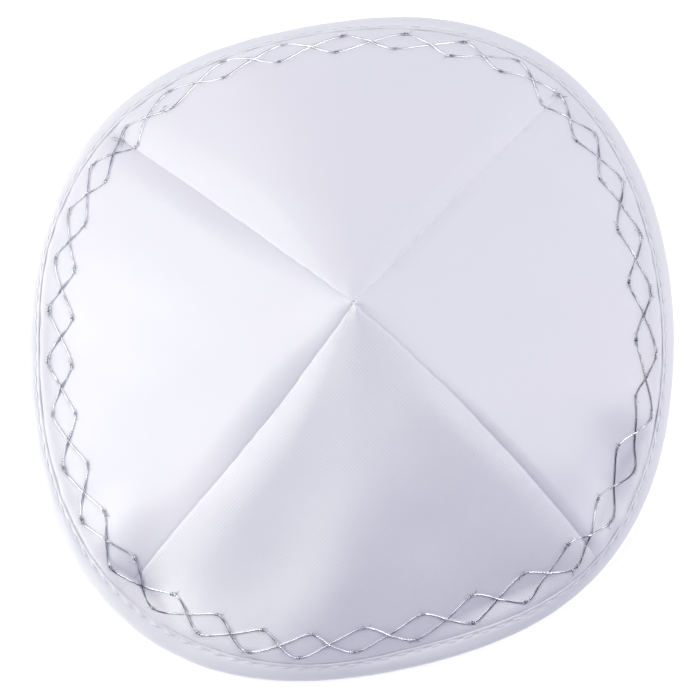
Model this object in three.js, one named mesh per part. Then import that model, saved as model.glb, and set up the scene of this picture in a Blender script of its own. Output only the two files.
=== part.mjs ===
// A four-panel satin skullcap that rests on its rim, in millimetres, with +Z up and the origin under its middle.
// The panels meet at the apex and are tucked into a folded band round the rim.
import * as THREE from "three";

// Driving sizes
const rimRadius = 94.8; // mean reach of the rim from the middle, in plan
const crownHeight = 45; // top of the cloth at the apex, over the surface that the rim rests on
const clothWall = 1; // thickness of a panel
const bindingWall = 1; // thickness of each leg of the folded band
const bindingWidth = 5.6; // width of the band from its inner edge to the rim
const foldThickness = 1.4; // cloth gathered in the band's fold, from the slot's end to the rim
const restWidth = 2; // flat strip under the band
const sewingGap = 0.3; // clearance between neighbouring pieces
const tipRadius = 0.7; // how far from the apex the panels' tips end
const browReach = 12; // how far above the band the cloth still follows the band's own turn
const grooveSpread = 0.3; // how fast a seam's groove widens with the distance from the apex

// Place of the apex in plan, as shares of rimRadius
const apexShift = { x: 0.011, y: -0.015 };

// How a panel falls from the apex: the part of the fall that is a straight cone, and how late the rest comes
const coneShare = 0.64;
const crownPower = 2.65;

// How the rim departs from a circle: share is of rimRadius, towards is where a lobe points, in degrees
const rimLobes = [
  { lobes: 2, share: 0.037, towards: 68 },
  { lobes: 4, share: 0.027, towards: 52 },
  { lobes: 6, share: 0.004, towards: 8 },
];

// Seams, anticlockwise: where each meets the rim, how far it swings round towards the apex, in degrees,
// and its groove, depth as a share of crownHeight and reach to each side as a share of rimRadius
const seams = [
  { name: "rear_right", angle: 50.5, swing: 0, depth: 0.012, reach: 0.045 },
  { name: "rear_left", angle: 138, swing: 1, depth: 0.028, reach: 0.062 },
  { name: "front_left", angle: 228.5, swing: 6, depth: 0.045, reach: 0.075 },
  { name: "front_right", angle: 317.3, swing: 2.6, depth: 0.038, reach: 0.066 },
];

// Panels, each between two of the seams above, by their order
const panels = [
  { name: "panel_rear", from: 0, to: 1 },
  { name: "panel_left", from: 1, to: 2 },
  { name: "panel_front", from: 2, to: 3 },
  { name: "panel_right", from: 3, to: 0 },
];

// Slopes round the rim, in degrees: of the band, and of the cloth just above it
const rimForm = [
  { angle: 0, binding: 53, brow: 50 },
  { angle: 25, binding: 31, brow: 40 },
  { angle: 50, binding: 29, brow: 29 },
  { angle: 72, binding: 28, brow: 31 },
  { angle: 98, binding: 47, brow: 36 },
  { angle: 125, binding: 37, brow: 35 },
  { angle: 146, binding: 46, brow: 36 },
  { angle: 165, binding: 60, brow: 26 },
  { angle: 182, binding: 44, brow: 16 },
  { angle: 202, binding: 42, brow: 31 },
  { angle: 222, binding: 35, brow: 27 },
  { angle: 243, binding: 20, brow: 20 },
  { angle: 266, binding: 48, brow: 44 },
  { angle: 286, binding: 28, brow: 40 },
  { angle: 315, binding: 58, brow: 49 },
  { angle: 338, binding: 55, brow: 48 },
];

// Folds and dents: angle is the direction from the apex in degrees, lean how far it turns over the whole way out,
// and out the share of the way to the band; long (outwards) and wide (round) are half lengths as shares of rimRadius,
// and rise is a share of crownHeight
const folds = [
  { name: "front ridge", angle: 271, lean: -37, out: 0.8, long: 0.55, wide: 0.15, rise: 0.06 },
  { name: "front hollow", angle: 296, lean: 0, out: 0.8, long: 0.36, wide: 0.2, rise: -0.03 },
  { name: "left dent", angle: 220, lean: 0, out: 0.87, long: 0.12, wide: 0.13, rise: -0.05 },
  { name: "right dent", angle: 327, lean: 0, out: 0.88, long: 0.12, wide: 0.12, rise: -0.035 },
  { name: "left swell", angle: 183, lean: 0, out: 0.6, long: 0.4, wide: 0.42, rise: 0.03 },
  { name: "rear swell", angle: 100, lean: 0, out: 0.6, long: 0.4, wide: 0.42, rise: 0.025 },
  { name: "right swell", angle: 5, lean: 0, out: 0.6, long: 0.4, wide: 0.42, rise: 0.03 },
];

// Fineness of the faceted cloth
const columns = 20; // steps across a panel
const rows = 15; // steps from a panel's tip to the band

// What follows from the driving sizes
const midCloth = clothWall / 2;
const slotHalf = midCloth + sewingGap; // from the cloth's middle to either leg of the band
const noseRadius = slotHalf + bindingWall; // outer radius of the band's fold
const noseHeight = Math.sqrt(noseRadius ** 2 - (restWidth / 2) ** 2); // centre of the fold over the flat strip
const legLength = bindingWidth - noseRadius; // from the band's inner edge to the centre of its fold
const slotDepth = bindingWidth - foldThickness;
const hemDepth = slotDepth - sewingGap; // how far a panel reaches into the band
const apexHeight = crownHeight - midCloth;
const apex = { x: apexShift.x * rimRadius, y: apexShift.y * rimRadius };

const toRadians = THREE.MathUtils.degToRad;
const toDegrees = THREE.MathUtils.radToDeg;

// Signed turn from one direction to another, in degrees, between -180 and 180
const turn = (from, to) => THREE.MathUtils.euclideanModulo(to - from + 180, 360) - 180;

// Smooth value of a table's column at an angle, with a Hermite curve through its rows that closes on itself
function around(table, column, angle) {
  const row = (k) => table[(k + table.length) % table.length];
  const ahead = (k, bearing) => THREE.MathUtils.euclideanModulo(bearing - row(k).angle, 360);
  const gap = (a, b) => ahead(a, row(b).angle);
  const k = table.findIndex((_, i) => ahead(i, angle) < gap(i, i + 1));
  const span = gap(k, k + 1);
  const share = ahead(k, angle) / span;
  const slopeAt = (i) => ((row(i + 1)[column] - row(i - 1)[column]) / gap(i - 1, i + 1)) * span;
  const square = share ** 2;
  const cube = share ** 3;
  return (
    row(k)[column] * (2 * cube - 3 * square + 1) +
    slopeAt(k) * (cube - 2 * square + share) +
    row(k + 1)[column] * (3 * square - 2 * cube) +
    slopeAt(k + 1) * (cube - square)
  );
}

// The upright section through the apex and the rim at an angle
function sectionAt(angle) {
  const lobe = ({ lobes, share, towards }) => share * Math.cos(toRadians(lobes * (angle - towards)));
  const reach = rimRadius * rimLobes.reduce((sum, row) => sum + lobe(row), 1);
  const dx = reach * Math.cos(toRadians(angle)) - apex.x;
  const dy = reach * Math.sin(toRadians(angle)) - apex.y;
  const rim = Math.hypot(dx, dy);
  const slope = toRadians(around(rimForm, "binding", angle));
  return {
    angle,
    direction: Math.atan2(dy, dx),
    swing: toRadians(around(seams, "swing", angle)),
    slope,
    brow: Math.tan(toRadians(around(rimForm, "brow", angle))),
    noseOut: rim - noseRadius,
    out: rim - noseRadius - legLength * Math.cos(slope), // where the cloth enters the band
    up: noseHeight + legLength * Math.sin(slope),
  };
}

// A point of a section: out from the apex, up from the ground, turned round the apex by the seams' swing
function place(section, out, up) {
  const share = Math.min(out / section.out, 1);
  const heading = section.direction + section.swing * (1 - share);
  return new THREE.Vector3(apex.x + out * Math.cos(heading), apex.y + out * Math.sin(heading), up);
}

// Height that grooves, folds and dents add to the cloth, which the band presses flat
function relief(angle, share, out) {
  let height = 0;
  for (const seam of seams) {
    const fullReach = seam.reach * rimRadius;
    const reach = Math.min(fullReach, grooveSpread * out + tipRadius); // narrower where the panels are narrow
    const across = Math.min(Math.abs(out * toRadians(turn(seam.angle, angle))) / reach, 1);
    height -= seam.depth * crownHeight * (reach / fullReach) * (1 - Math.sin((across * Math.PI) / 2));
  }
  const fullOut = out / share;
  for (const fold of folds) {
    const along = ((share - fold.out) * fullOut) / (fold.long * rimRadius);
    const heading = fold.angle + fold.lean * (share - fold.out);
    const across = (out * toRadians(turn(heading, angle))) / (fold.wide * rimRadius);
    height += fold.rise * crownHeight * Math.exp(-(along ** 2) - across ** 2);
  }
  return height * THREE.MathUtils.smoothstep(fullOut - out, 0, browReach);
}

// A point of the crown, share of the way from the apex to the band, offset outwards from the cloth's middle
function crownPoint(section, share, offset) {
  const drop = apexHeight - section.up;
  const fall = coneShare * share + (1 - coneShare) * share ** crownPower;
  const fallRate = (at) => coneShare + (1 - coneShare) * crownPower * at ** (crownPower - 1);
  const steepness = (at) => (fallRate(at) * drop) / section.out;
  // Near the band the cloth bends to the brow's slope
  const inward = section.out * (1 - share);
  const fade = Math.exp(-inward / browReach);
  const bend = section.brow - steepness(1);
  const up = apexHeight - drop * fall + bend * inward * fade;
  const slope = Math.atan(steepness(share) + bend * fade * (1 - inward / browReach));
  const normal = share < 1 ? slope : (slope + section.slope) / 2;
  const lift = relief(section.angle, share, section.out * share) + offset;
  return place(section, section.out * share + lift * Math.sin(normal), up + lift * Math.cos(normal));
}

// A point inside the band: down is the distance past the band's inner edge, offset outwards from the cloth's middle
function bandPoint(section, down, offset) {
  const out = section.out + down * Math.cos(section.slope) + offset * Math.sin(section.slope);
  const up = section.up - down * Math.sin(section.slope) + offset * Math.cos(section.slope);
  return place(section, out, up);
}

// A named mesh from its points and its faces, each face three places in the list of points
function meshOf(name, points, faces, color) {
  const geometry = new THREE.BufferGeometry();
  geometry.setAttribute("position", new THREE.Float32BufferAttribute(points.flatMap((p) => p.toArray()), 3));
  geometry.setIndex(faces.flat());
  geometry.computeVertexNormals();
  const material = new THREE.MeshStandardMaterial({ color, roughness: 0.45, metalness: 0 });
  const mesh = new THREE.Mesh(geometry, material);
  mesh.name = name;
  return mesh;
}

// Two triangles for a quad whose corners run anticlockwise as seen from outside
const quad = (a, b, c, d) => [
  [a, b, c],
  [a, c, d],
];

// Share of the way across a panel for each of its steps, closest together along the seams
const acrossAt = (step) => (1 - Math.cos((Math.PI * step) / columns)) / 2;

// One panel: an outer and an inner sheet of points, joined round their edge
function panel({ name, from, to }) {
  const start = seams[from].angle;
  const width = THREE.MathUtils.euclideanModulo(seams[to].angle - start, 360);
  const sheet = (offset) => {
    const points = [];
    for (let i = 0; i <= rows + 1; i += 1) {
      for (let j = 0; j <= columns; j += 1) {
        const tipShare = tipRadius / rimRadius;
        const share = Math.min(tipShare + ((1 - tipShare) * i) / rows, 1);
        const out = share * sectionAt(start + width * acrossAt(j)).out;
        const inset = toDegrees(Math.asin(sewingGap / 2 / out)); // half the gap that the seam keeps
        const section = sectionAt(start + inset + (width - 2 * inset) * acrossAt(j));
        points.push(i > rows ? bandPoint(section, hemDepth, offset) : crownPoint(section, share, offset));
      }
    }
    return points;
  };
  const outer = sheet(midCloth);
  const inner = sheet(-midCloth);
  const span = columns + 1;
  const last = outer.length;
  const at = (i, j) => i * span + j;
  const faces = [];
  for (let i = 0; i <= rows; i += 1) {
    for (let j = 0; j < columns; j += 1) {
      faces.push(...quad(at(i + 1, j), at(i + 1, j + 1), at(i, j + 1), at(i, j)));
      faces.push(...quad(last + at(i, j), last + at(i, j + 1), last + at(i + 1, j + 1), last + at(i + 1, j)));
    }
    faces.push(...quad(at(i, 0), last + at(i, 0), last + at(i + 1, 0), at(i + 1, 0)));
    faces.push(...quad(at(i, columns), at(i + 1, columns), last + at(i + 1, columns), last + at(i, columns)));
  }
  const hem = rows + 1;
  for (let j = 0; j < columns; j += 1) {
    faces.push(...quad(at(0, j), at(0, j + 1), last + at(0, j + 1), last + at(0, j)));
    faces.push(...quad(at(hem, j), last + at(hem, j), last + at(hem, j + 1), at(hem, j + 1)));
  }
  return meshOf(name, [...outer, ...inner], faces, 0xf1f0f6);
}

// One cut through the folded band, from the outer leg's inner edge round the fold, with its flat strip on the ground
function bandCut(section) {
  const flatTurn = Math.asin(restWidth / 2 / noseRadius); // of the flat strip's corners from straight down
  const down = -Math.PI / 2;
  const legTurn = down - section.slope; // where the inner leg leaves the fold
  const round = (bearing) => {
    const up = noseHeight + noseRadius * Math.sin(bearing);
    return place(section, section.noseOut + noseRadius * Math.cos(bearing), Math.max(up, 0));
  };
  const top = Math.PI / 2 - section.slope;
  const steep = section.slope > flatTurn;
  // On a gentle slope the flat strip cuts the inner leg, this far up it
  const cut = (noseRadius * Math.cos(section.slope) - noseHeight) / Math.sin(section.slope);
  const innerLeg = (up) => bandPoint(section, legLength - up, -noseRadius);
  return [
    bandPoint(section, 0, noseRadius),
    round(top),
    round(top / 2),
    round(0),
    round((down + flatTurn) / 2),
    round(down + flatTurn),
    steep ? round(down - flatTurn) : innerLeg(cut),
    steep ? round(legTurn) : innerLeg(cut + restWidth / 4),
    innerLeg(legLength),
    bandPoint(section, 0, -slotHalf),
    bandPoint(section, slotDepth, -slotHalf),
    bandPoint(section, slotDepth, slotHalf),
    bandPoint(section, 0, slotHalf),
  ];
}

// The band: cuts all the way round the rim, at the panels' own steps
function binding() {
  const cuts = [];
  for (const { from, to } of panels) {
    const start = seams[from].angle;
    const width = THREE.MathUtils.euclideanModulo(seams[to].angle - start, 360);
    for (let j = 0; j < columns; j += 1) {
      cuts.push(bandCut(sectionAt(start + width * acrossAt(j))));
    }
  }
  const corners = cuts[0].length;
  const faces = [];
  cuts.forEach((_, k) => {
    const here = k * corners;
    const next = ((k + 1) % cuts.length) * corners;
    for (let c = 0; c < corners; c += 1) {
      const d = (c + 1) % corners;
      faces.push(...quad(here + c, here + d, next + d, next + c));
    }
  });
  return meshOf("rim_binding", cuts.flat(), faces, 0xe9e8f0);
}

const cap = new THREE.Group();
cap.add(...panels.map(panel), binding());

export default cap;
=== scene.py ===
"""White satin skullcap of four panels, with a folded band, a silver thread border and topstitching."""
import math
from collections import namedtuple
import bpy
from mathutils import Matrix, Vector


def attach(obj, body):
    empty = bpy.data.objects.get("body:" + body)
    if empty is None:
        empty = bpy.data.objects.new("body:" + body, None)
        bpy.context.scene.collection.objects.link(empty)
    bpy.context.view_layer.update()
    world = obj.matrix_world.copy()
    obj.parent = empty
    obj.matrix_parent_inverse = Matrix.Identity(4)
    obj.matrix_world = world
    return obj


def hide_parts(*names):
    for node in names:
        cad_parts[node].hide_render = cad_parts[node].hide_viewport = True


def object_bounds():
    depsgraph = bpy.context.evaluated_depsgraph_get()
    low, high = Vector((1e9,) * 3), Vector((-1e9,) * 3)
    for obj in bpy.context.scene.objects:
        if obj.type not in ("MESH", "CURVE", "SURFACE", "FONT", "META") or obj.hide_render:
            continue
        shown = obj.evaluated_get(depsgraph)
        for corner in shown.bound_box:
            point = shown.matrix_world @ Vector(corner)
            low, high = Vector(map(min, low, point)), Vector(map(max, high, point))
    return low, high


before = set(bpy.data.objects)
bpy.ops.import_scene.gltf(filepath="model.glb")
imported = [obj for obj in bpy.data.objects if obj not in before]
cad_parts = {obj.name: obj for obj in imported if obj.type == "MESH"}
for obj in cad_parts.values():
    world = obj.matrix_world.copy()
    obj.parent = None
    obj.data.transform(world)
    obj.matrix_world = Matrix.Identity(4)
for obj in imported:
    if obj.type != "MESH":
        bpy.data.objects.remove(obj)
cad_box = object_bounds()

from types import SimpleNamespace

import bpy
import numpy as np
from mathutils import Vector

bl_info = {
    "name": "Satin Skullcap",
    "version": (1, 0, 0),
    "blender": (4, 5, 0),
    "location": "View3D > Sidebar > Skullcap",
    "description": "Builds a four-panel satin skullcap with a silver thread border",
    "category": "Add Mesh",
}

MM = 0.001

# How the rim departs from a circle: a share of its radius, and the degrees that a lobe points to
Lobe = namedtuple("Lobe", "lobes share towards")
RIM_LOBES = [Lobe(2, 0.037, 68), Lobe(4, 0.027, 52), Lobe(6, 0.004, 8)]

# Seams, anticlockwise: where each meets the rim and how far it swings towards the apex, in degrees
Seam = namedtuple("Seam", "angle swing")
SEAMS = [Seam(50.5, 0.0), Seam(138.0, 1.0), Seam(228.5, 6.0), Seam(317.3, 2.6)]

# The groove of each seam: its depth as a share of the crown's height, and how far it reaches back
# (clockwise) and on, as shares of the rim's radius. It grows from near to full and fades from far on,
# in shares of the way out
Groove = namedtuple("Groove", "depth back on near full far")
GROOVES = [
    Groove(0.036, 0.05, 0.06, 0.00, 0.20, 0.78),
    Groove(0.052, 0.12, 0.095, 0.00, 0.60, 0.85),
    Groove(0.050, 0.085, 0.12, 0.00, 0.40, 0.36),
    Groove(0.020, 0.08, 0.034, 0.10, 0.60, 0.80),
]

# Panels: the seams at their two sides, the direction of their twill in degrees, and how plainly the
# photo shows their weave
PanelCut = namedtuple("PanelCut", "name first last twill weave")
PANELS = [
    PanelCut("panel_rear", 0, 1, 45, 0.4),
    PanelCut("panel_left", 1, 2, 135, 0.3),
    PanelCut("panel_front", 2, 3, 45, 4.0),
    PanelCut("panel_right", 3, 0, 135, 0.5),
]

# Slopes round the rim, in degrees: of the band, and of the cloth just above it
RimSlope = namedtuple("RimSlope", "angle band brow")
RIM_SLOPES = [
    RimSlope(0, 53, 50),
    RimSlope(25, 31, 40),
    RimSlope(50, 29, 29),
    RimSlope(72, 28, 31),
    RimSlope(98, 47, 36),
    RimSlope(125, 37, 35),
    RimSlope(146, 46, 36),
    RimSlope(165, 60, 26),
    RimSlope(182, 44, 16),
    RimSlope(202, 42, 31),
    RimSlope(222, 35, 27),
    RimSlope(243, 20, 20),
    RimSlope(266, 48, 44),
    RimSlope(286, 28, 54),
    RimSlope(315, 62, 55),
    RimSlope(338, 55, 48),
]

# Folds and dents: angle and its lean over the whole way out, in degrees; out is the share of the way to the
# band; long and wide are half lengths as shares of the rim's radius, rise is a share of the crown's height
Fold = namedtuple("Fold", "angle lean out long wide rise")
FOLDS = [
    Fold(266, -45, 0.76, 0.58, 0.17, 0.056),
    Fold(305, -4, 0.92, 0.32, 0.18, -0.062),
    Fold(310, 4, 0.50, 0.34, 0.17, 0.082),
    Fold(294, 0, 0.97, 0.18, 0.12, -0.040),
    Fold(236, 12, 0.52, 0.38, 0.13, 0.034),
    Fold(207, 0, 0.68, 0.28, 0.16, -0.038),
    Fold(232, 0, 0.97, 0.10, 0.11, -0.100),
    Fold(220, 0, 0.86, 0.08, 0.07, 0.028),
    Fold(330, 0, 0.97, 0.10, 0.14, -0.095),
    Fold(344, 0, 0.90, 0.10, 0.08, 0.035),
    Fold(190, 0, 0.60, 0.35, 0.28, -0.018),
    Fold(113, 0, 0.75, 0.50, 0.16, 0.030),
    Fold(90, 0, 0.60, 0.40, 0.42, 0.020),
    Fold(6, 0, 0.60, 0.32, 0.20, -0.055),
    Fold(59, 0, 0.75, 0.35, 0.09, 0.030),
    Fold(45, 0, 0.80, 0.35, 0.08, -0.026),
]

# How a panel falls from the apex, as in the solid model
APEX_SHIFT = (0.011, -0.015)
CONE_SHARE = 0.64
CROWN_POWER = 2.65
APEX_SHARE = 44.5 / 45.82  # height of the cloth's middle at the apex, as a share of the model's box

GROOVE_SPREAD = 0.25  # how fast a groove widens on its way out from the apex
GROOVE_LOSS = 0.75  # share of its depth that a groove loses towards the band
GROOVE_POWER = 1.6  # how sharply a groove bends in at its seam
PUCKER = 0.04 * MM  # height of the puckers that the stitches pull along a seam
SEAM_DIP = 0.13 * MM  # how far the two turned edges sink where they meet
PUFF = 0.38 * MM  # how far the cloth puffs up where it comes out of the band

# The silver chain: crossings counted round the cap from the first, and the degrees at which each comes
Crossing = namedtuple("Crossing", "count angle")
CROSSINGS = [
    Crossing(0, 4), Crossing(2, 27), Crossing(4, 46), Crossing(7, 75), Crossing(10, 109), Crossing(12, 132),
    Crossing(14, 151), Crossing(17, 180), Crossing(20, 211), Crossing(23, 240), Crossing(26, 266),
    Crossing(28, 288), Crossing(31, 319), Crossing(34, 351), Crossing(35, 364),
]

# Loose tufts of silver thread: angle in degrees, distance over the band and length in mm, number of ends
Tuft = namedtuple("Tuft", "angle over length ends")
TUFTS = [Tuft(138, 4.6, 3.6, 6), Tuft(129, 8.5, 2.6, 6), Tuft(51, 4.0, 2.2, 4)]

SEED = 11
FULL_TURN = 2 * math.pi


def plan_reach(angle):
    """How far the rim reaches at an angle, for a cap of mean radius 1"""
    return 1 + sum(row.share * np.cos(np.radians(row.lobes * (angle - row.towards))) for row in RIM_LOBES)


def rim_radius_of_frame():
    """The rim's mean radius that gives the frame's box its length"""
    angle = np.arange(0, 360, 0.5)
    depth = plan_reach(angle) * np.sin(np.radians(angle))
    return (cad_box[1].y - cad_box[0].y) / (depth.max() - depth.min())


class CapSizes(bpy.types.PropertyGroup):
    rim_radius: bpy.props.FloatProperty(
        name="Rim radius", description="Mean reach of the rim from the middle",
        default=rim_radius_of_frame(), min=0.05, max=0.15, unit="LENGTH")
    apex_height: bpy.props.FloatProperty(
        name="Apex height", description="Height of the cloth at the apex over the rim's rest",
        default=(cad_box[1].z - cad_box[0].z) * APEX_SHARE, min=0.02, max=0.12, unit="LENGTH")
    cloth: bpy.props.FloatProperty(
        name="Cloth thickness", description="Thickness of one layer of satin",
        default=0.3 * MM, min=0.1 * MM, max=1 * MM, unit="LENGTH")
    allowance: bpy.props.FloatProperty(
        name="Seam allowance", description="Cloth turned under along each seam",
        default=5.5 * MM, min=2 * MM, max=12 * MM, unit="LENGTH")
    band_width: bpy.props.FloatProperty(
        name="Band width", description="Width of the folded band from its inner edge to the rim",
        default=5.6 * MM, min=4 * MM, max=15 * MM, unit="LENGTH")


class ThreadSizes(bpy.types.PropertyGroup):
    border_inset: bpy.props.FloatProperty(
        name="Border inset", description="Cloth between the band and the middle of the silver border",
        default=6.4 * MM, min=5 * MM, max=20 * MM, unit="LENGTH")
    lens_height: bpy.props.FloatProperty(
        name="Lens height", description="Width of the silver chain, from peak to peak",
        default=7.4 * MM, min=2 * MM, max=15 * MM, unit="LENGTH")
    silver_width: bpy.props.FloatProperty(
        name="Silver thread", description="Thickness of the silver thread",
        default=0.5 * MM, min=0.1 * MM, max=1 * MM, unit="LENGTH")
    stitch_pitch: bpy.props.FloatProperty(
        name="Stitch pitch", description="Length of one topstitch with its gap",
        default=4.7 * MM, min=2 * MM, max=8 * MM, unit="LENGTH")
    stitch_width: bpy.props.FloatProperty(
        name="Stitch width", description="Thickness of the sewing thread",
        default=0.48 * MM, min=0.1 * MM, max=1 * MM, unit="LENGTH")


class CapColours(bpy.types.PropertyGroup):
    satin: bpy.props.FloatVectorProperty(
        name="Satin", description="Colour of the panels", subtype="COLOR", size=3, min=0, max=1,
        default=(0.878, 0.873, 0.888))
    band: bpy.props.FloatVectorProperty(
        name="Band", description="Colour of the folded band", subtype="COLOR", size=3, min=0, max=1,
        default=(0.88, 0.88, 0.885))
    silver: bpy.props.FloatVectorProperty(
        name="Silver", description="Colour of the silver thread", subtype="COLOR", size=3, min=0, max=1,
        default=(0.74, 0.74, 0.78))
    thread: bpy.props.FloatVectorProperty(
        name="Sewing thread", description="Colour of the stitches", subtype="COLOR", size=3, min=0, max=1,
        default=(0.88, 0.88, 0.93))
    floor: bpy.props.FloatVectorProperty(
        name="Floor", description="Colour of the floor", subtype="COLOR", size=3, min=0, max=1,
        default=(0.92, 0.92, 0.93))


def around(table, column, angle):
    """Value of a table's column at an angle, on a smooth curve through its rows that closes on itself"""
    bearings = np.array([row.angle for row in table], float)
    values = np.array([getattr(row, column) for row in table], float)
    count = len(table)
    angle = np.mod(angle, 360)
    here = np.searchsorted(bearings, angle, side="right") - 1

    def gap(a, b):
        return np.mod(bearings[b % count] - bearings[a % count], 360)

    def slope_at(i):
        return (values[(i + 1) % count] - values[(i - 1) % count]) / gap(i - 1, i + 1)

    span = gap(here, here + 1)
    share = np.mod(angle - bearings[here % count], 360) / span
    return (
        values[here % count] * (2 * share**3 - 3 * share**2 + 1)
        + slope_at(here) * span * (share**3 - 2 * share**2 + share)
        + values[(here + 1) % count] * (3 * share**2 - 2 * share**3)
        + slope_at(here + 1) * span * (share**3 - share**2)
    )


def turn(start, end):
    """Signed turn from one direction to another, in degrees"""
    return np.mod(end - start + 180, 360) - 180


def smoothstep(value, low, high):
    share = np.clip((value - low) / (high - low), 0, 1)
    return share * share * (3 - 2 * share)


class CapForm:
    """The cap's cloth surface, from the sizes; angles are in degrees about the middle, lengths in metres"""

    def __init__(self, scene):
        sizes = scene.skullcap_sizes
        threads = scene.skullcap_threads
        self.rim_radius = sizes.rim_radius
        self.apex_height = sizes.apex_height
        self.cloth = sizes.cloth
        self.face = 0.5 * MM  # outer face of the panels over the middle of the solid's wall
        self.slot_half = 0.8 * MM
        self.leg = 1 * MM
        self.nose_radius = self.slot_half + self.leg
        self.nose_height = math.sqrt(self.nose_radius**2 - (1 * MM) ** 2)
        self.leg_length = sizes.band_width - self.nose_radius
        self.hem = sizes.band_width - 1.7 * MM
        self.brow_reach = 12 * MM
        self.press_reach = 3.5 * MM  # how far above the band its stitches press the folds flat
        self.tip_radius = 0.7 * MM
        self.apex = np.array(APEX_SHIFT) * self.rim_radius
        self.inset = threads.border_inset
        self.wave = threads.lens_height / 2
        random = np.random.default_rng(SEED)
        self.ripples = list(zip(
            random.uniform(16, 42, 9) * MM, random.uniform(0, 360, 9),
            random.uniform(0, FULL_TURN, 9), random.uniform(0.015, 0.045, 9) * MM))
        self.gathers = list(zip(
            random.integers(18, 70, 10), random.uniform(0, FULL_TURN, 10),
            random.uniform(0.02, 0.06, 10) * MM))

    def section(self, angle):
        """The upright section through the apex and the rim at each angle"""
        angle = np.asarray(angle, float)
        reach = self.rim_radius * plan_reach(angle)
        dx = reach * np.cos(np.radians(angle)) - self.apex[0]
        dy = reach * np.sin(np.radians(angle)) - self.apex[1]
        rim = np.hypot(dx, dy)
        slope = np.radians(around(RIM_SLOPES, "band", angle))
        return SimpleNamespace(
            angle=angle,
            direction=np.arctan2(dy, dx),
            swing=np.radians(around(SEAMS, "swing", angle)),
            slope=slope,
            brow=np.tan(np.radians(around(RIM_SLOPES, "brow", angle))),
            nose_out=rim - self.nose_radius,
            out=rim - self.nose_radius - self.leg_length * np.cos(slope),
            up=self.nose_height + self.leg_length * np.sin(slope),
        )

    def place(self, section, out, up):
        """Points of a section: out from the apex, up from the ground, turned by the seams' swing"""
        share = np.minimum(out / section.out, 1)
        sway = 0.14 * np.sin(out / (3.6 * MM) + 3 * section.direction) + 0.09 * np.sin(out / (0.95 * MM))
        wander = sway * MM * (1 - share)
        heading = section.direction + section.swing * (1 - share) + wander / np.maximum(out, 4 * MM)
        x = self.apex[0] + out * np.cos(heading)
        y = self.apex[1] + out * np.sin(heading)
        return np.stack(np.broadcast_arrays(x, y, up), axis=-1)

    def relief(self, section, share, out):
        """Height that grooves, folds, dents and gathers add to the cloth, which the band presses flat"""
        angle = section.angle
        height = np.zeros(np.broadcast(angle, out).shape)
        for seam, groove in zip(SEAMS, GROOVES):
            side = out * np.radians(turn(seam.angle, angle))
            full_reach = np.where(side < 0, groove.back, groove.on) * self.rim_radius
            reach = np.minimum(full_reach, GROOVE_SPREAD * out + self.tip_radius)
            side = np.abs(side)
            across = np.minimum(side / reach, 1)
            depth = groove.depth * self.apex_height * smoothstep(share, groove.near - 0.02, groove.full)
            depth *= 1 - GROOVE_LOSS * smoothstep(share, groove.far, groove.far + 0.45)
            height -= depth * (1 - across) ** GROOVE_POWER
            pull = np.sin(FULL_TURN * out / (4.6 * MM) + 2.2 * np.sin(out / (9 * MM) + seam.angle))
            near_seam = np.exp(-((side / (2.2 * MM)) ** 2)) * smoothstep(out, 3 * MM, 12 * MM)
            height += PUCKER * pull * near_seam
            height -= SEAM_DIP * np.exp(-((side / (0.5 * MM)) ** 2)) * smoothstep(out, 1 * MM, 4 * MM)
        # The four tips make small lumps where they are sewn together
        lumps = 0.10 * np.sin(np.radians(3 * angle + 40))
        lumps = lumps + 0.07 * np.sin(np.radians(5 * angle) + out / (0.8 * MM))
        height += lumps * MM * np.exp(-((out / (3.2 * MM)) ** 2)) * smoothstep(out, 0, 1.5 * MM)
        full_out = section.out
        for fold in FOLDS:
            along = (share - fold.out) * full_out / (fold.long * self.rim_radius)
            heading = fold.angle + fold.lean * (share - fold.out)
            across = out * np.radians(turn(heading, angle)) / (fold.wide * self.rim_radius)
            height += fold.rise * self.apex_height * np.exp(-(along**2) - across**2)
        inward = full_out - out
        height *= smoothstep(inward, 0, self.press_reach)
        x = out * np.cos(np.radians(angle))
        y = out * np.sin(np.radians(angle))
        for length, bearing, phase, size in self.ripples:
            run = x * math.cos(math.radians(bearing)) + y * math.sin(math.radians(bearing))
            height += size * np.sin(FULL_TURN * run / length + phase) * smoothstep(inward, 0, 8 * MM)
        puffed = np.exp(-(((inward - 0.6 * MM) / (1.6 * MM)) ** 2))
        puffed = puffed * (0.5 + 0.5 * smoothstep(inward, 0, 0.6 * MM))
        height += PUFF * puffed
        for count, phase, size in self.gathers:
            height += size * np.sin(np.radians(angle) * count + phase) * np.exp(-inward / (7 * MM))
        return height

    def crown(self, angle, share, offset):
        """Points of the crown, a share of the way out from the apex, off the wall's middle by an offset"""
        section = self.section(angle)
        drop = self.apex_height - section.up
        dome = 1 - CONE_SHARE
        fall = CONE_SHARE * share + dome * share**CROWN_POWER

        def steepness(at):
            return (CONE_SHARE + dome * CROWN_POWER * at ** (CROWN_POWER - 1)) * drop / section.out

        inward = section.out * (1 - share)
        fade = np.exp(-inward / self.brow_reach)
        bend = section.brow - steepness(1)
        up = self.apex_height - drop * fall + bend * inward * fade
        slope = np.arctan(steepness(share) + bend * fade * (1 - inward / self.brow_reach))
        normal = np.where(share < 1, slope, (slope + section.slope) / 2)
        lift = self.relief(section, share, section.out * share) + offset
        return self.place(section, section.out * share + lift * np.sin(normal), up + lift * np.cos(normal))

    def band(self, angle, down, offset):
        """Points of the band: down past its inner edge, offset outwards from the middle of the slot"""
        section = self.section(angle)
        out = section.out + down * np.cos(section.slope) + offset * np.sin(section.slope)
        up = section.up - down * np.sin(section.slope) + offset * np.cos(section.slope)
        return self.place(section, out, up)

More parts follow.
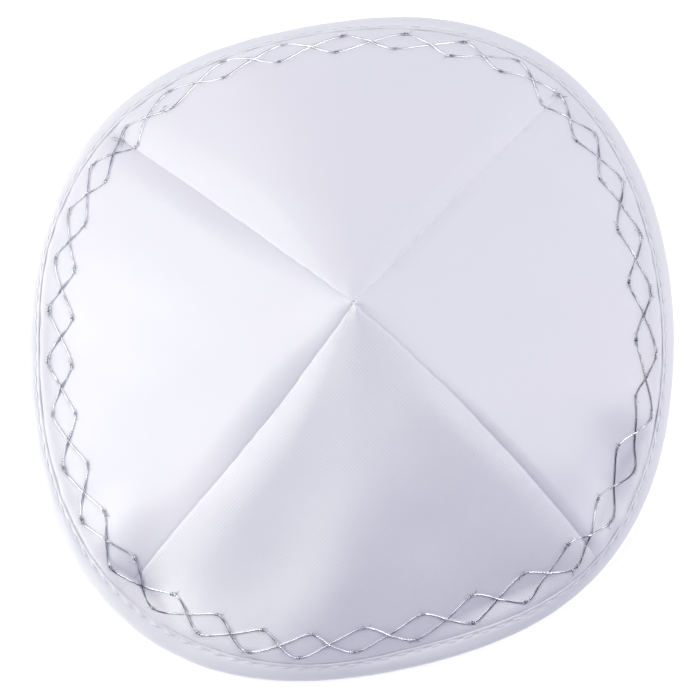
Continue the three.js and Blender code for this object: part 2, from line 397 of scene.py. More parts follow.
    def nose(self, angle, bearing, radius):
        """Points of the band's fold, at a bearing in degrees over level, kept on the ground"""
        section = self.section(angle)
        out = section.nose_out + radius * np.cos(np.radians(bearing))
        up = self.nose_height + radius * np.sin(np.radians(bearing))
        return self.place(section, out, np.maximum(up, self.cloth / 2))


def clear_selection():
    """Leave nothing selected, because the loaded model's pieces are"""
    if bpy.context.object and bpy.context.object.mode != "OBJECT":
        bpy.ops.object.mode_set(mode="OBJECT")
    bpy.ops.object.select_all(action="DESELECT")


def cloth_grid(name, points, flat):
    """A grid of cloth through rows of points, with its flat place in metres as its UV map"""
    rows, columns = points.shape[:2]
    clear_selection()
    bpy.ops.mesh.primitive_grid_add(
        x_subdivisions=columns - 1, y_subdivisions=rows - 1, size=1, calc_uvs=True)
    piece = bpy.context.object
    piece.name = name
    piece.data.name = name
    mesh = piece.data
    if len(mesh.vertices) != rows * columns:
        raise RuntimeError(f"{name}: the grid has {len(mesh.vertices)} points, not {rows * columns}")
    mesh.vertices.foreach_set("co", points.reshape(-1).astype(np.float32))
    corner = np.empty(len(mesh.loops), np.int32)
    mesh.loops.foreach_get("vertex_index", corner)
    mesh.uv_layers.active.data.foreach_set("uv", flat.reshape(-1, 2)[corner].reshape(-1).astype(np.float32))
    mesh.update()
    return piece


def give_wall(piece, thickness):
    """Thicken a sheet to both sides of its middle and apply it"""
    wall = piece.modifiers.new("Cloth", "SOLIDIFY")
    wall.thickness = thickness
    wall.offset = 0
    wall.use_rim = True
    bpy.ops.object.modifier_apply(modifier=wall.name)


def finish_cloth(piece, sharp=50):
    """Smooth shading, with the cut edges left crisp"""
    clear_selection()
    bpy.context.view_layer.objects.active = piece
    piece.select_set(True)
    bpy.ops.object.shade_smooth_by_angle(angle=math.radians(sharp))


def grid_lengths(points, axis):
    """Distance run along one direction of a grid of points, from its start"""
    steps = np.linalg.norm(np.diff(points, axis=axis), axis=-1)
    start = np.zeros_like(np.take(steps, [0], axis=axis))
    return np.concatenate([start, np.cumsum(steps, axis=axis)], axis=axis)


def seam_edge(form):
    """The turned edge of a panel, from the raw edge in: distance from the seam and height of the cloth"""
    middle = form.face - form.cloth / 2
    under = middle - form.cloth - 0.05 * MM
    fold = 0.004 * MM + form.cloth / 2
    corner = 0.04 * MM
    across = np.array([fold + 0.1 * MM, fold - corner, fold, fold - corner, fold + 0.1 * MM])
    height = np.array([under, under - corner, (under + middle) / 2, middle + corner, middle])
    return across, height, under, middle


def panel_points(form, cut, allowance):
    """Rows of points of one panel's cloth, from its hem in the band to its tip at the apex"""
    start = SEAMS[cut.first].angle
    width = np.mod(SEAMS[cut.last].angle - start, 360)
    ends = form.section(np.array([start, start + width])).out
    downs = np.array([form.hem, form.hem * 0.66, form.hem * 0.33, 0.22 * MM])
    tips = 0.14 * MM * 1.55 ** np.arange(9) / form.rim_radius
    shares = np.concatenate([np.linspace(1, tips[-1] * 1.3, 116), tips[::-1], tips[:1]])
    shares = np.concatenate([np.ones(len(downs)), shares])
    turned_across, turned_height, under, middle = seam_edge(form)
    laid = np.array([1, 0.75, 0.5, 0.25, 0.08])
    steps = np.linspace(0, 1, 134)
    eased = 0.45 * steps + 0.55 * (1 - np.cos(np.pi * steps)) / 2
    angles = []
    heights = []
    for share in shares:
        sides = []
        for out in ends * share:
            shrink = min(1, out / (2.2 * MM))
            tuck = min(allowance, 0.33 * out)
            first = turned_across[0] * shrink
            across = np.concatenate([first + laid * max(tuck - first, 0), turned_across * shrink])
            sides.append(np.degrees(across / out))
        left, right = sides
        inner = np.linspace(0, 1, len(eased))
        body = start + left[-1] + (width - left[-1] - right[-1]) * eased[1:-1]
        angles.append(np.concatenate([start + left, body, (start + width - right)[::-1]]))
        shrink = min(1, ends.mean() * share / (2.2 * MM))
        edge = np.concatenate([np.full(len(laid), under), turned_height])
        edge = middle + (edge - middle) * shrink
        heights.append(np.concatenate([edge, np.full(len(inner) - 2, middle), edge[::-1]]))
    angles = np.array(angles)
    heights = np.array(heights)
    heights[-1] -= 0.5 * MM
    points = form.crown(angles, shares[:, None], heights)
    for row, down in enumerate(downs):
        points[row] = form.band(angles[row], down, heights[row])
    return points, angles


def add_panel(form, cut, allowance):
    points, angles = panel_points(form, cut, allowance)
    run = grid_lengths(points[::-1], 0)[::-1]
    middle = SEAMS[cut.first].angle + np.mod(SEAMS[cut.last].angle - SEAMS[cut.first].angle, 360) / 2
    bearing = np.radians(middle + 0.93 * (angles - middle))
    flat = np.stack([run * np.cos(bearing), run * np.sin(bearing)], axis=-1)
    piece = cloth_grid(cut.name + "_satin", points, flat)
    give_wall(piece, form.cloth)
    finish_cloth(piece)
    return piece


class Wire:
    """A number on its way through a shader; sums and products with wires or plain numbers add Math nodes"""

    def __init__(self, shader, socket):
        self.shader = shader
        self.socket = socket

    def __add__(self, other):
        return self.shader.math("ADD", self, other)

    __radd__ = __add__

    def __sub__(self, other):
        return self.shader.math("SUBTRACT", self, other)

    def __mul__(self, other):
        return self.shader.math("MULTIPLY", self, other)

    __rmul__ = __mul__

    def sine(self, lead=0.0):
        """Sine of this many turns, with a lead in radians"""
        return self.shader.math("SINE", self * FULL_TURN + lead)


class Shader:
    """A material's node tree"""

    def __init__(self, name):
        self.material = bpy.data.materials.new(name)
        self.material.use_nodes = True
        self.tree = self.material.node_tree
        self.principled = self.tree.nodes["Principled BSDF"]

    def node(self, kind, settings=None, inputs=None):
        """A node of a type, with its settings made first and then its sockets' values or links"""
        node = self.tree.nodes.new(kind)
        for key, value in (settings or {}).items():
            setattr(node, key, value)
        for key, value in (inputs or {}).items():
            self.feed(node.inputs[key], value)
        return node

    def feed(self, socket, value):
        if isinstance(value, Wire):
            value = value.socket
        if isinstance(value, bpy.types.NodeSocket):
            self.tree.links.new(value, socket)
        else:
            socket.default_value = value

    def math(self, operation, *values):
        node = self.node("ShaderNodeMath", {"operation": operation})
        for socket, value in zip(node.inputs, values):
            self.feed(socket, value)
        return Wire(self, node.outputs[0])

    def uv(self, turn=0.0, scale=(1, 1, 1)):
        """The flat place on the cloth, turned and scaled"""
        coordinates = self.node("ShaderNodeTexCoord")
        inputs = {"Vector": coordinates.outputs["UV"], "Rotation": (0, 0, math.radians(turn))}
        turned = self.node("ShaderNodeMapping", {"vector_type": "POINT"}, inputs).outputs["Vector"]
        scaled = self.node("ShaderNodeVectorMath", {"operation": "MULTIPLY"})
        self.feed(scaled.inputs[0], turned)
        self.feed(scaled.inputs[1], scale)
        return scaled.outputs["Vector"]

    def place(self):
        """The place in the object's own frame"""
        return self.node("ShaderNodeTexCoord").outputs["Object"]

    def noise(self, vector, scale, detail=2.0, roughness=0.5):
        inputs = {"Vector": vector, "Scale": scale, "Detail": detail, "Roughness": roughness}
        return Wire(self, self.node("ShaderNodeTexNoise", None, inputs).outputs["Fac"])

    def part(self, vector, axis):
        return Wire(self, self.node("ShaderNodeSeparateXYZ", None, {"Vector": vector}).outputs[axis])

    def blend(self, factor, first, second):
        """A colour between two colours"""
        node = self.node("ShaderNodeMix", {"data_type": "RGBA"})
        self.feed(node.inputs["Factor"], factor)
        self.feed(node.inputs[6], first)
        self.feed(node.inputs[7], second)
        return node.outputs[2]

    def bump(self, height, strength, distance):
        inputs = {"Height": height, "Strength": strength, "Distance": distance}
        return self.node("ShaderNodeBump", None, inputs).outputs["Normal"]

    def surface(self, **values):
        for key, value in values.items():
            self.feed(self.principled.inputs[key.replace("_", " ")], value)


def shade_of(colour, red, green=None, blue=None):
    """A colour times one factor, or times one for each channel, with full alpha"""
    factors = (red, red if green is None else green, red if blue is None else blue)
    return (*(min(channel * factor, 1) for channel, factor in zip(colour, factors)), 1)


def satin_material(name, colour, twill, pitch=0.77 * MM, depth=1.0):
    """Satin: fine diagonal lines of its weave, slubs along them and soft cloudy sheen"""
    shader = Shader(name)
    lines = shader.uv(-twill, (1 / pitch, 1 / pitch, 1))
    wobble = shader.noise(shader.uv(0, (1, 1, 1)), 90, 2)
    run = shader.part(lines, "Y") + wobble * 1.6
    twill_line = run.sine() * 0.5 + 0.5
    slubs = shader.noise(shader.uv(-twill, (500, 4500, 1)), 1.0, 3, 0.6)
    grain = shader.noise(shader.uv(-twill, (2600, 2600, 1)), 1.0, 2, 0.5)
    cross_line = (shader.part(lines, "X") * 1.25 + wobble).sine() * 0.5 + 0.5
    weave = twill_line * 0.35 + cross_line * 0.25 + slubs * 0.2 + grain * 0.2
    cloud = shader.noise(shader.place(), 28, 3, 0.5)
    hue = shader.noise(shader.place(), 17, 2, 0.5)
    bright = [channel * (0.96 + 0.04 * depth) for channel in colour]
    bright = shader.blend(hue, shade_of(bright, 0.978, 0.995, 1.012), shade_of(bright, 1.02, 0.995, 0.995))
    tint = shader.blend(weave * 0.6 + cloud * 0.4, shade_of(colour, 0.96 - 0.04 * depth), bright)
    shader.surface(
        Base_Color=tint,
        Roughness=0.40 + 0.10 * cloud + 0.06 * weave,
        Normal=shader.bump(weave, 0.95 * min(depth, 1), 0.05 * MM),
    )
    shader.principled.inputs["Specular IOR Level"].default_value = 0.6
    shader.principled.inputs["Sheen Weight"].default_value = 0.15
    shader.principled.inputs["Sheen Roughness"].default_value = 0.4
    return shader.material


def give_finish(piece, material):
    piece.data.materials.clear()
    piece.data.materials.append(material)


class SKULLCAP_OT_panels(bpy.types.Operator):
    """Add the four satin panels, with their seam edges turned under"""

    bl_idname = "skullcap.panels"
    bl_label = "Satin panels"

    def execute(self, context):
        scene = context.scene
        form = CapForm(scene)
        for cut in PANELS:
            piece = add_panel(form, cut, scene.skullcap_sizes.allowance)
            satin = satin_material(cut.name, scene.skullcap_colours.satin, cut.twill, depth=cut.weave)
            give_finish(piece, satin)
            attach(piece, "root")
            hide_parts(cut.name)
        return {"FINISHED"}


# The band's face: distance from its inner edge, and how far it sinks under the fold's full height, in mm
BandRise = namedtuple("BandRise", "along sunk")
BAND_FACE = [
    BandRise(0.00, 0.72),
    BandRise(0.25, 0.66),
    BandRise(0.50, 0.62),
    BandRise(0.80, 0.68),
    BandRise(1.10, 0.68),
    BandRise(1.45, 0.46),
    BandRise(2.10, 0.18),
    BandRise(2.90, 0.03),
    BandRise(3.80, 0.00),
]
STITCH_LINE = 0.95 * MM  # from the band's inner edge to its topstitching
STITCH_SHARE = 0.68  # of the stitch pitch, the rest being the gap
STITCH_PULL = 0.24 * MM  # how deep the stitches pull the band in
PITCH_STEPS = 6  # points of the band for each stitch


def face_height(form, along):
    """Height of the band's outer cloth, at its middle, over the middle of the panels"""
    sunk = np.interp(along / MM, [row.along for row in BAND_FACE], [row.sunk for row in BAND_FACE]) * MM
    return form.nose_radius - form.cloth / 2 - sunk


def band_section(form):
    """The band's two outer layers, from the edge tucked under the face, over the lip and down the face: how
    far along the face and how high each point of the cloth's middle is"""
    tucked = form.face + 0.04 * MM + form.cloth / 2
    rows = [(along * MM, tucked) for along in (3.9, 3.0, 2.2, 1.4, 0.9, 0.5)]
    lip = (face_height(form, 0.25 * MM) - tucked) / 2
    for bearing in (-60, -20, 20, 60):
        turned = math.radians(bearing)
        rows.append((0.25 * MM - lip * math.cos(turned), tucked + lip * (1 + math.sin(turned))))
    rows += [(along, face_height(form, along)) for along in np.linspace(0.32 * MM, form.leg_length, 17)]
    return rows, tucked


def rim_run(form, steps=1440):
    """Angles round the rim and the length run at each, along the band's stitch line"""
    angle = np.linspace(0, 360, steps + 1)
    points = form.band(angle, STITCH_LINE, form.nose_radius)
    return angle, grid_lengths(points, 0)


def add_band(form, pitch):
    """The band as one folded strip of cloth with both its edges tucked in"""
    angle, run = rim_run(form)
    count = round(run[-1] / pitch)
    around_steps = PITCH_STEPS * count
    at = np.interp(np.linspace(0, run[-1], around_steps + 1), run, angle)
    beat = np.cos(FULL_TURN * np.arange(around_steps + 1) / PITCH_STEPS)  # 1 midway between two stitches
    random = np.random.default_rng(SEED + 1)
    waves = zip(random.integers(5, 40, 8), random.uniform(0, 6.28, 8), random.uniform(0.01, 0.04, 8))
    sway = sum(size * np.sin(np.radians(at) * count + phase) for count, phase, size in waves) * MM
    rows, tucked = band_section(form)
    outer = form.nose_radius - form.cloth / 2
    points = []
    for k, (along, height) in enumerate(rows):
        on_face = k > 7
        hole = np.exp(-(((along - STITCH_LINE) / (0.4 * MM)) ** 2)) if on_face else 0
        swell = smoothstep(along, 1.4 * MM, 2.6 * MM) if on_face else 0
        extra = swell * sway * 1.5 - STITCH_PULL * hole * (0.5 + 0.5 * beat)
        edge = 0.5 * sway if along < 0.5 * MM else 0
        points.append(form.band(at, along + edge, height + extra))
    section = form.section(at)
    top = 90 - np.degrees(section.slope)
    for share in np.linspace(0.1, 1, 13):
        bearing = top + share * (-90 - top)
        puff = 0.03 * MM * math.cos(share * math.pi / 2) + sway * (1 - share)
        points.append(form.nose(at, bearing, outer + puff))
    leg_turn = -90 - np.degrees(section.slope)
    for share in np.linspace(0.25, 1, 4):
        points.append(form.nose(at, -90 + share * (leg_turn + 90), outer))
    for along in np.linspace(form.leg_length - 0.3 * MM, 0.32 * MM, 10):
        points.append(form.band(at, along, -face_height(form, along)))
    points += [form.band(at, along, -height) for along, height in rows[9:0:-1]]
    points = np.array(points)
    points[..., 2] = np.maximum(points[..., 2], form.cloth / 2)
    across = grid_lengths(points, 0).mean(axis=1)
    length = np.linspace(0, run[-1], around_steps + 1)
    flat = np.stack(np.broadcast_arrays(length[None, :], across[:, None]), axis=-1)
    piece = cloth_grid("rim_binding_satin", points[::-1], flat[::-1])
    bpy.ops.object.mode_set(mode="EDIT")
    bpy.ops.mesh.select_all(action="SELECT")
    bpy.ops.mesh.remove_doubles(threshold=0.005 * MM)
    bpy.ops.object.mode_set(mode="OBJECT")
    give_wall(piece, form.cloth)
    finish_cloth(piece)
    return piece


class SKULLCAP_OT_band(bpy.types.Operator):
    """Add the folded satin band round the rim"""

    bl_idname = "skullcap.band"
    bl_label = "Folded band"

    def execute(self, context):
        scene = context.scene
        form = CapForm(scene)
        piece = add_band(form, scene.skullcap_threads.stitch_pitch)
        satin = satin_material("band_satin", scene.skullcap_colours.band, 40, 0.7 * MM, 0.7)
        give_finish(piece, satin)
        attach(piece, "root")
        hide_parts("rim_binding")
        return {"FINISHED"}


def mesh_object(name, points, faces, flat=None):
    """A smooth mesh object; flat holds a UV pair for each corner of each face"""
    clear_selection()
    mesh = bpy.data.meshes.new(name)
    mesh.from_pydata(points.tolist(), [], faces)
    if flat is not None:
        layer = mesh.uv_layers.new(name="UVMap")
        layer.data.foreach_set("uv", np.asarray(flat, np.float32).reshape(-1))
    piece = bpy.data.objects.new(name, mesh)
    bpy.context.scene.collection.objects.link(piece)
    bpy.context.view_layer.objects.active = piece
    piece.select_set(True)
    bpy.ops.object.mode_set(mode="EDIT")
    bpy.ops.mesh.select_all(action="SELECT")
    bpy.ops.mesh.normals_make_consistent(inside=False)
    bpy.ops.object.mode_set(mode="OBJECT")
    bpy.ops.object.shade_smooth()
    return piece


def path_frames(path, normals, closed):
    """Directions along, across and out of a path that lies on the cloth"""
    if closed:
        along = np.roll(path, -1, axis=0) - np.roll(path, 1, axis=0)
    else:
        along = np.gradient(path, axis=0)
    along /= np.linalg.norm(along, axis=1, keepdims=True)
    across = np.cross(normals, along)
    across /= np.linalg.norm(across, axis=1, keepdims=True)
    return along, across, np.cross(along, across)


def tube(path, normals, radius, sides, closed, twist=0.0, lobe=0.0):
    """Points, faces and UV of a thread along a path; twist is the turns of its two plies for each metre"""
    _, across, outward = path_frames(path, normals, closed)
    run = grid_lengths(path, 0)
    around_turn = np.linspace(0, FULL_TURN, sides, endpoint=False)
    phase = FULL_TURN * twist * run[:, None]
    reach = np.asarray(radius).reshape(-1, 1) * (1 + lobe * np.cos(2 * (around_turn[None, :] - phase)))
    rings = path[:, None, :] + reach[..., None] * (
        np.cos(around_turn)[None, :, None] * across[:, None, :]
        + np.sin(around_turn)[None, :, None] * outward[:, None, :])
    count = len(path)
    first = np.arange(count if closed else count - 1)
    second = (first + 1) % count
    side = np.arange(sides)
    following = (side + 1) % sides
    faces = np.stack(np.broadcast_arrays(
        first[:, None] * sides + side, second[:, None] * sides + side,
        second[:, None] * sides + following, first[:, None] * sides + following), axis=-1).reshape(-1, 4)
    step = run[-1] / max(count - 1, 1)
    u = run[first][:, None, None] + step * np.array([0, 1, 1, 0])
    v = (side[:, None] + np.array([0, 0, 1, 1])) / sides
    flat = np.stack(np.broadcast_arrays(u, v), axis=-1)
    return rings.reshape(-1, 3), faces, flat.reshape(-1, 4, 2)


def loose_thread(path, normals, radius, sides=5):
    """A thread that is open at both ends, drawn to a point at each"""
    taper = np.full(len(path), radius)
    taper[[0, -1]] = radius * 0.05
    return tube(path, normals, taper, sides, False)


def join_parts(parts):
    """One set of points, faces and UV from several"""
    starts = np.cumsum([0] + [len(points) for points, _, _ in parts[:-1]])
    return (
        np.concatenate([points for points, _, _ in parts]),
        np.concatenate([faces + start for (_, faces, _), start in zip(parts, starts)]),
        np.concatenate([flat for _, _, flat in parts]),
    )


def crown_normals(form, angle, share):
    """Outward normals of the crown's cloth at angles and shares"""
    step = 1e-3
    across = form.crown(angle + 0.05, share, 0) - form.crown(angle - 0.05, share, 0)
    down = form.crown(angle, np.minimum(share + step, 0.9999), 0) - form.crown(angle, share - step, 0)
    normal = np.cross(down, across)
    return normal / np.linalg.norm(normal, axis=-1, keepdims=True)


def share_at(form, angle, inward):
    """Shares of the way out that lie a distance inward from the band, measured along the cloth"""
    shares = np.linspace(0.999, 0.78, 50)
    points = form.crown(angle[:, None], shares[None, :], 0)
    run = grid_lengths(points, 1)
    return np.array([np.interp(want, row, shares) for want, row in zip(inward, run)])


def chain_wave(phase):
    """One thread's wave from -1 to 1: nearly straight strands that climb slowly and fall steeply"""
    return np.arcsin(0.86 * np.sin(phase - 0.22 * np.sin(phase))) / math.asin(0.86)


def border_route(form, thickness):
    """The silver thread's route: two rounds of one skewed wave, which cross in a chain of lenses"""
    lenses = CROSSINGS[-1].count
    count = np.arange(0, 2 * lenses, 1 / 70)
    counts, angles = zip(*CROSSINGS)
    angle = np.interp(np.mod(count, lenses), counts, angles)
    phase = np.pi * count
    random = np.random.default_rng(SEED + 2)
    waves = zip(random.integers(9, 60, 10), random.uniform(0, 6.28, 10), random.uniform(0.02, 0.11, 10))
    wander = sum(size * np.sin(np.pi * n * count / lenses + shift) for n, shift, size in waves) * MM
    inward = form.inset + form.wave * chain_wave(phase) + wander
    share = share_at(form, angle, inward)
    crossing = np.mod(phase, 2 * np.pi) - np.pi
    lift = thickness * (0.30 + 0.75 * np.exp(-((crossing / 0.30) ** 2)))
    path = form.crown(angle, share, form.face + lift)
    return path, crown_normals(form, angle, share), phase, angle


def border_painted_shade(along, phase, angle, random):
    """How bright the silver is, as painted shade: darkest where a strand runs front to back at the front
    right, with random bright and dark patches
    """
    # Painted shade: strands that run front to back are darkened as though they reflect dark surroundings
    deep = smoothstep(np.abs(along[:, 1]), 0.55, 0.92)
    # Painted shade: darker round the front right of the cap, where the lamps reach least
    shaded = 0.20 + 0.80 * smoothstep(np.cos(np.radians(angle - 300)), -0.2, 0.75)
    waves = zip(random.integers(60, 700, 9), random.uniform(0, 6.28, 9))
    patches = sum(np.sin(n * phase / 70 + shift) for n, shift in waves)
    return np.clip(0.9 - 0.8 * deep * shaded + 0.10 * patches, 0, 1)


def knot_shape(width):
    """One knot: tight turns of thread round the strand, and two short loose ends"""
    turns = np.linspace(0, 3, 31)
    swell = width * (0.50 + 0.22 * np.sin(np.pi * turns / 3))
    around_strand = np.stack([0 * turns, np.cos(FULL_TURN * turns), np.sin(FULL_TURN * turns)], axis=-1)
    coil = around_strand * swell[:, None]
    coil[:, 0] = (turns / 3 - 0.5) * 3.4 * width
    parts = [loose_thread(coil, around_strand, 0.27 * width, 6)]
    reach = np.linspace(0, 1, 6)[:, None]
    up = np.tile([0.0, 0.0, 1.0], (6, 1))
    for start, middle, end in (
        ((1.2, 0.3, 0.4), (2.3, 0.9, 0.5), (2.6, 1.9, 0.1)),
        ((-1.3, -0.2, 0.4), (-2.1, 0.3, 0.6), (-3.1, 0.3, 0.2)),
    ):
        start, middle, end = np.array((start, middle, end)) * width
        path = (1 - reach) ** 2 * start + 2 * reach * (1 - reach) * middle + reach**2 * end
        parts.append(loose_thread(path, up, 0.10 * width, 4))
    return join_parts(parts)


def add_knots(path, frames, phase, width, random):
    """A knot at each peak of the wave, turned and scaled a little differently each time"""
    points, faces, flat = knot_shape(width)
    along, across, outward = frames
    steep = np.abs(chain_wave(phase))
    peaks = np.flatnonzero((steep > np.roll(steep, 1)) & (steep >= np.roll(steep, -1)))
    parts = []
    tones = []
    for k in peaks:
        spin = random.uniform(-0.35, 0.35)
        ahead = along[k] * math.cos(spin) + across[k] * math.sin(spin)
        beside = np.cross(outward[k], ahead)
        flip = random.choice([-1, 1])
        shape = points * [flip * random.uniform(0.8, 1.2), flip, 1] * random.uniform(1.0, 1.4)
        middle = path[k] + random.normal(0, 0.25) * width * along[k]
        placed = middle + shape[:, :1] * ahead + shape[:, 1:2] * beside + shape[:, 2:] * outward[k]
        parts.append((placed, faces, flat))
        tones.append(np.clip(random.normal(0.8, 0.15) + 0.45 * np.sin(points[:, 0] / width * 2.4), 0, 1))
    return parts, tones


def add_tufts(form, width, random):
    """Loose ends of silver thread that stand out where the border was begun and ended"""
    parts = []
    reach = np.linspace(0, 1, 7)
    for tuft in TUFTS:
        root_share = share_at(form, np.array([tuft.angle]), np.array([tuft.over * MM]))[0]
        for _ in range(tuft.ends):
            heading = random.uniform(0, FULL_TURN)
            length = tuft.length * random.uniform(0.4, 1) * MM
            bend = random.uniform(-0.9, 0.9)
            turned = heading + bend * reach
            out = length * reach * np.cos(turned)
            side = length * reach * np.sin(turned)
            share = np.clip(root_share + out / form.rim_radius, 0.5, 0.995)
            angle = tuft.angle + np.degrees(side / form.rim_radius)
            rise = form.face + width * (0.15 + random.uniform(0.2, 1.6) * np.sin(np.pi * reach * 0.8))
            parts.append(loose_thread(
                form.crown(angle, share, rise), crown_normals(form, angle, share), 0.13 * width, 4))
    return parts


SILVER_TWIST = 620  # turns of the silver thread's two plies for each metre


class SKULLCAP_OT_border(bpy.types.Operator):
    """Add the silver thread border, two waves that cross in a chain"""

    bl_idname = "skullcap.border"
    bl_label = "Silver border"

    def execute(self, context):
        scene = context.scene
        form = CapForm(scene)
        thickness = scene.skullcap_threads.silver_width
        path, normals, phase, angle = border_route(form, thickness)
        random = np.random.default_rng(SEED + 4)
        sides = 8
        parts = [tube(path, normals, thickness / 2, sides, True, SILVER_TWIST, 0.2)]
        frames = path_frames(path, normals, True)
        tones = [np.repeat(border_painted_shade(frames[0], phase, angle, random), sides)]
        knots, knot_tones = add_knots(path, frames, phase, thickness, random)
        tufts = add_tufts(form, thickness, random)
        tones += knot_tones + [np.full(len(points), 0.6) for points, _, _ in tufts]
        points, faces, flat = join_parts(parts + knots + tufts)
        piece = mesh_object("silver_border", points, faces.tolist(), flat)
        # The attribute carries the strands' painted shade, and the knots' and tufts' tone
        layer = piece.data.attributes.new("tone_and_painted_shade", "FLOAT", "POINT")
        layer.data.foreach_set("value", np.concatenate(tones).astype(np.float32))
        give_finish(piece, silver_material(scene.skullcap_colours.silver))
        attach(piece, "root")
        return {"FINISHED"}


def silver_material(colour):
    """Metallic thread: bright film with darker turns of its twist painted in as glints, a painted highlight
    along one side and painted shade along the other, the strands' painted shade from their attribute, and
    random bright and dark stretches
    """
    shader = Shader("silver_thread")
    place = shader.uv(0, (1, 1, 1))
    along = shader.part(place, "X")
    round_it = shader.part(place, "Y")
    # The twist brightens and darkens the film's colour as painted glints, and also bumps it
    twist = (along * (2 * SILVER_TWIST) + round_it * 2).sine() * 0.5 + 0.5
    tone_and_painted_shade = Wire(shader, shader.node("ShaderNodeAttribute", {"attribute_name": "tone_and_painted_shade"}).outputs["Fac"])
    patches = shader.noise(shader.place(), 900, 2, 0.6)
    # Painted light: a painted highlight along one side of the thread and painted shade along the other
    side = round_it.sine(math.pi / 2)  # 1 along one side of the thread, -1 along the other
    bright = tone_and_painted_shade * 0.75 + patches * 0.4 + twist * 0.2 + side * 0.42 - 0.25
    tint = shader.blend(bright, shade_of(colour, 0.10), shade_of(colour, 1.3))
    shader.surface(
        Base_Color=tint,
        Metallic=0.8,
        Roughness=0.16 + 0.16 * patches,
        Normal=shader.bump(twist, 0.5, 0.04 * MM),
    )
    return shader.material


class SKULLCAP_OT_topstitching(bpy.types.Operator):
    """Add the running stitches of the band, outside and inside"""

    bl_idname = "skullcap.topstitching"
    bl_label = "Topstitching"

    def execute(self, context):
        scene = context.scene
        form = CapForm(scene)
        threads = scene.skullcap_threads
        piece = add_stitches(form, threads.stitch_pitch, threads.stitch_width)
        give_finish(piece, thread_material(scene.skullcap_colours.thread))
        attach(piece, "root")
        return {"FINISHED"}


def stitch_shape(length, width):
    """One stitch: a short bent thread whose ends dip into the cloth"""
    clear_selection()
    bpy.ops.mesh.primitive_uv_sphere_add(segments=8, ring_count=9, radius=0.5)
    stitch = bpy.context.object
    count = len(stitch.data.vertices)
    points = np.empty(count * 3, np.float32)
    stitch.data.vertices.foreach_get("co", points)
    points = points.reshape(-1, 3)
    faces = [list(face.vertices) for face in stitch.data.polygons]
    # The sphere's axis becomes the stitch's length, with fuller ends
    along = np.sign(points[:, 2]) * np.abs(points[:, 2] * 2) ** 1.25 / 2
    bent = -1.1 * width * (2 * along) ** 4
    shaped = np.stack([along * length, points[:, 0] * width, points[:, 1] * width * 0.8 + bent], axis=-1)
    bpy.data.objects.remove(stitch)
    return shaped, faces


def add_stitches(form, pitch, width):
    angle, run = rim_run(form)
    count = round(run[-1] / pitch)
    step = run[-1] / count
    random = np.random.default_rng(SEED + 3)
    shape, faces = stitch_shape(step * STITCH_SHARE, width)
    points = []
    all_faces = []
    surface = face_height(form, STITCH_LINE) + form.cloth / 2
    for side, height in ((1, surface + width * 0.36), (-1, -surface - width * 0.05)):
        for k in range(count):
            middle = (k + 0.5 + random.uniform(-0.03, 0.03)) * step
            at = np.interp(middle, run, angle)
            beside = np.interp(middle + 0.5 * MM, run, angle)
            here = form.band(np.array([at, beside]), STITCH_LINE, height)
            outer = form.band(np.array([at]), STITCH_LINE, height + side * MM)[0]
            along = here[1] - here[0]
            along /= np.linalg.norm(along)
            out = outer - here[0]
            out /= np.linalg.norm(out)
            across = np.cross(out, along)
            skew = random.normal(0, 0.05)
            along = along * math.cos(skew) + across * math.sin(skew)
            across = np.cross(out, along)
            base = len(points) * len(shape)
            points.append(here[0] + shape[:, :1] * along + shape[:, 1:2] * across + shape[:, 2:] * out)
            all_faces.extend([[corner + base for corner in face] for face in faces])
    return mesh_object("topstitching", np.concatenate(points), all_faces)


def thread_material(colour):
    """Sewing thread: a soft white twist"""
    shader = Shader("sewing_thread")
    fuzz = shader.noise(shader.place(), 4200, 2, 0.6)
    tint = shader.blend(fuzz, shade_of(colour, 0.97), shade_of(colour, 1.08))
    shader.surface(Base_Color=tint, Roughness=0.35 + 0.2 * fuzz, Normal=shader.bump(fuzz, 0.3, 0.03 * MM))
    shader.principled.inputs["Sheen Weight"].default_value = 0.2
    return shader.material


# Studio lights: azimuth (anticlockwise from +X) and height in degrees, power in watts, and colour
Lamp = namedtuple("Lamp", "name azimuth height power colour")
LAMPS = [
    Lamp("key_left", 180, 12, 5.0, (1.0, 1.0, 0.89)),
    Lamp("high_left", 180, 45, 3.2, (1.0, 1.0, 0.90)),
    Lamp("front_left", 210, 12, 3.7, (1.0, 1.0, 0.90)),
    Lamp("rear_left", 135, 45, 3.9, (0.99, 0.99, 0.91)),
    Lamp("rear_right", 45, 45, 2.1, (0.98, 0.98, 0.91)),
    Lamp("high_right", 0, 45, 6.0, (0.99, 0.985, 0.92)),
    Lamp("low_right", 12, 12, 1.9, (1.0, 1.0, 0.91)),
]
LAMP_DISTANCE = 1.2
LAMP_WIDTH = 0.6
CAMERA_HEIGHT = 75  # of the view over level, in degrees
CAMERA_DISTANCE = 1.0
CAMERA_LENS = 187.1
CAMERA_AIM = (0, -0.0058, 0.01345)
FLOOR_GLOW = 0.42
WORLD_LIGHT = (0.12, 0.12, 1.0)
WORLD_STRENGTH = 0.18


def direction(azimuth, height):
    level = math.cos(math.radians(height))
    return Vector((
        level * math.cos(math.radians(azimuth)), level * math.sin(math.radians(azimuth)),
        math.sin(math.radians(height))))


class SKULLCAP_OT_stage(bpy.types.Operator):
    """Add the floor, the studio lights and the camera"""

    bl_idname = "skullcap.stage"
    bl_label = "Stage"

    def execute(self, context):
        scene = context.scene
        add_floor(scene.skullcap_colours.floor)
        add_world()
        middle = Vector((0, 0, 0.02))
        for lamp in LAMPS:
            add_lamp(lamp, middle)
        aim = Vector(CAMERA_AIM)
        clear_selection()
        place = aim + CAMERA_DISTANCE * direction(-90, CAMERA_HEIGHT)
        bpy.ops.object.camera_add(location=place)
        camera = context.object
        camera.name = "camera"
        camera.rotation_euler = (aim - place).to_track_quat("-Z", "Y").to_euler()
        camera.data.sensor_width = 36
        camera.data.lens = CAMERA_LENS
        scene.camera = camera
        scene.view_settings.view_transform = "Standard"
        return {"FINISHED"}


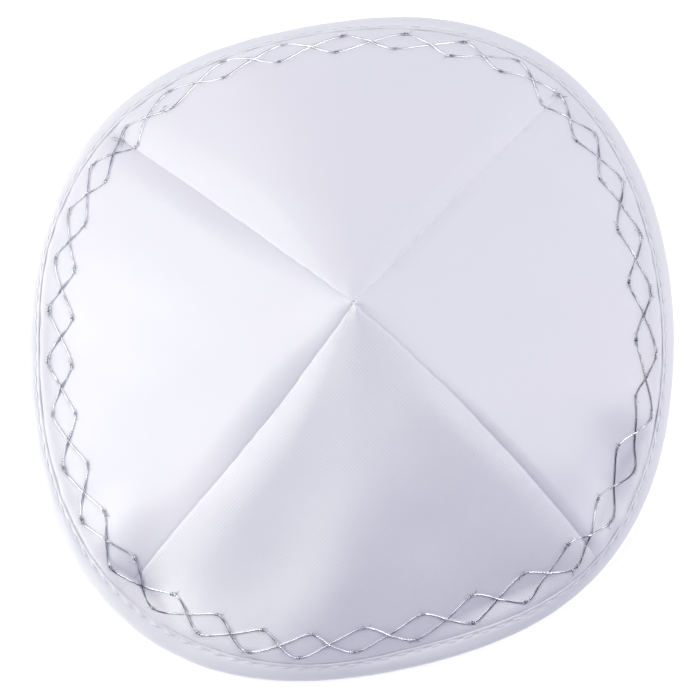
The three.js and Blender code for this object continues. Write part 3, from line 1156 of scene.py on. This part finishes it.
def add_floor(colour):
    clear_selection()
    bpy.ops.mesh.primitive_plane_add(size=6, location=(0, 0, 0))
    floor = bpy.context.object
    floor.name = "floor"
    shader = Shader("floor")
    speckle = shader.noise(shader.place(), 40, 3, 0.5)
    tint = shader.blend(speckle, shade_of(colour, 0.995), shade_of(colour, 1.005))
    shader.surface(Base_Color=tint, Roughness=0.9, Emission_Color=tint)
    shader.principled.inputs["Emission Strength"].default_value = FLOOR_GLOW
    floor.data.materials.append(shader.material)


def add_world():
    world = bpy.data.worlds.new("studio")
    world.use_nodes = True
    background = world.node_tree.nodes["Background"]
    background.inputs["Color"].default_value = (*WORLD_LIGHT, 1)
    background.inputs["Strength"].default_value = WORLD_STRENGTH
    bpy.context.scene.world = world


def add_lamp(lamp, middle):
    clear_selection()
    place = middle + LAMP_DISTANCE * direction(lamp.azimuth, lamp.height)
    bpy.ops.object.light_add(type="AREA", location=place)
    light = bpy.context.object
    light.name = lamp.name
    light.data.shape = "DISK"
    light.data.size = LAMP_WIDTH
    light.data.energy = lamp.power
    light.data.color = lamp.colour
    light.rotation_euler = (middle - place).to_track_quat("-Z", "Y").to_euler()


class VIEW3D_PT_skullcap(bpy.types.Panel):
    """Sizes, colours and steps of the skullcap"""

    bl_label = "Skullcap"
    bl_idname = "VIEW3D_PT_skullcap"
    bl_space_type = "VIEW_3D"
    bl_region_type = "UI"
    bl_category = "Skullcap"

    def draw(self, context):
        layout = self.layout
        for name in GROUPS:
            box = layout.box()
            box.label(text=name.removeprefix("skullcap_").capitalize())
            settings = getattr(context.scene, name)
            for key in settings.__annotations__:
                box.prop(settings, key)
        for step in STEPS:
            layout.operator(step.bl_idname)


STEPS = (
    SKULLCAP_OT_panels,
    SKULLCAP_OT_band,
    SKULLCAP_OT_border,
    SKULLCAP_OT_topstitching,
    SKULLCAP_OT_stage,
)
GROUPS = {"skullcap_sizes": CapSizes, "skullcap_threads": ThreadSizes, "skullcap_colours": CapColours}


def register():
    for group in GROUPS.values():
        bpy.utils.register_class(group)
    for name, group in GROUPS.items():
        setattr(bpy.types.Scene, name, bpy.props.PointerProperty(type=group))
    for step in (*STEPS, VIEW3D_PT_skullcap):
        bpy.utils.register_class(step)


def unregister():
    for step in (VIEW3D_PT_skullcap, *reversed(STEPS)):
        bpy.utils.unregister_class(step)
    for name in GROUPS:
        delattr(bpy.types.Scene, name)
    for group in reversed(GROUPS.values()):
        bpy.utils.unregister_class(group)


def main():
    register()
    bpy.ops.skullcap.panels()
    bpy.ops.skullcap.band()
    bpy.ops.skullcap.border()
    bpy.ops.skullcap.topstitching()
    bpy.ops.skullcap.stage()


if __name__ == "__main__":
    main()
